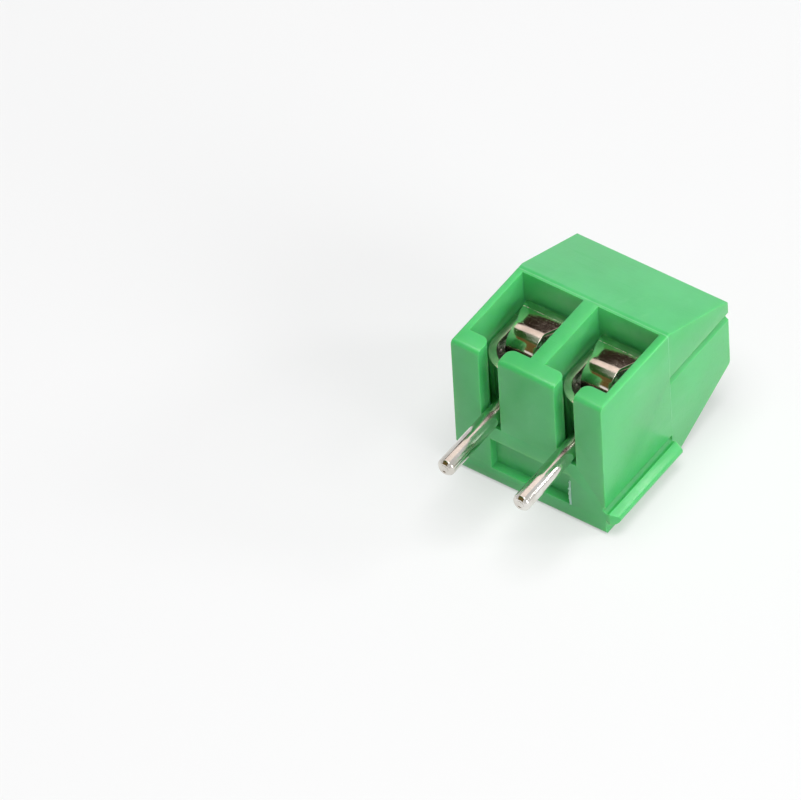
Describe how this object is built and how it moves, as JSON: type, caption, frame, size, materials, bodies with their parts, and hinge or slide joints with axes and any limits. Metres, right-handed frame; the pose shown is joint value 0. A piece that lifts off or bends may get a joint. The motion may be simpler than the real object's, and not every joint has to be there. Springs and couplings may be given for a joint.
{
  "type": "pcb screw terminal",
  "caption": "Green board-mounted screw terminal: wires enter at the side and are clamped by slotted screws reached through the top.",
  "frame": {"origin": "on the board side, midway between the solder pins", "axes": "+Z from the board to the screw holes, -Y towards the wire side, X along the row of poles"},
  "size_m": [0.0079, 0.007, 0.0119],
  "materials": {
    "green_plastic": "smooth moulded polyamide, slightly translucent",
    "tinned_pin": "bright tin plating with draw lines",
    "plated_sheet": "nickel plated sheet with specks",
    "zinc_screw": "zinc plated steel"
  },
  "bodies": {
    "housing": {"housing": "green_plastic", "contact_cage_1": "plated_sheet", "contact_cage_2": "plated_sheet", "solder_pin_1": "tinned_pin", "solder_pin_2": "tinned_pin"},
    "guard_1": {"wire_guard_1": "plated_sheet"},
    "screw_1": {"clamp_screw_1": "zinc_screw"},
    "guard_2": {"wire_guard_2": "plated_sheet"},
    "screw_2": {"clamp_screw_2": "zinc_screw"}
  },
  "joints": [
    {"name": "guard_1_travel", "type": "slide", "parent": "housing", "child": "guard_1", "axis": [0, 0, -1], "range_m": [-0.00005, 0.0004]},
    {"name": "screw_1_turn", "type": "hinge", "parent": "guard_1", "child": "screw_1", "pos_m": [-0.00175, 0, 0.0045], "axis": [0, 0, -1], "range_deg": [-46.5, 362]},
    {"name": "guard_2_travel", "type": "slide", "parent": "housing", "child": "guard_2", "axis": [0, 0, -1], "range_m": [-0.00005, 0.0004]},
    {"name": "screw_2_turn", "type": "hinge", "parent": "guard_2", "child": "screw_2", "pos_m": [0.00175, 0, 0.0045], "axis": [0, 0, -1], "range_deg": [-46.5, 362]}
  ],
  "couplings": [
    {"joint": "screw_1_turn", "follows": "guard_1_travel", "rad_per_m": 15708},
    {"joint": "screw_2_turn", "follows": "guard_2_travel", "rad_per_m": 15708}
  ]
}
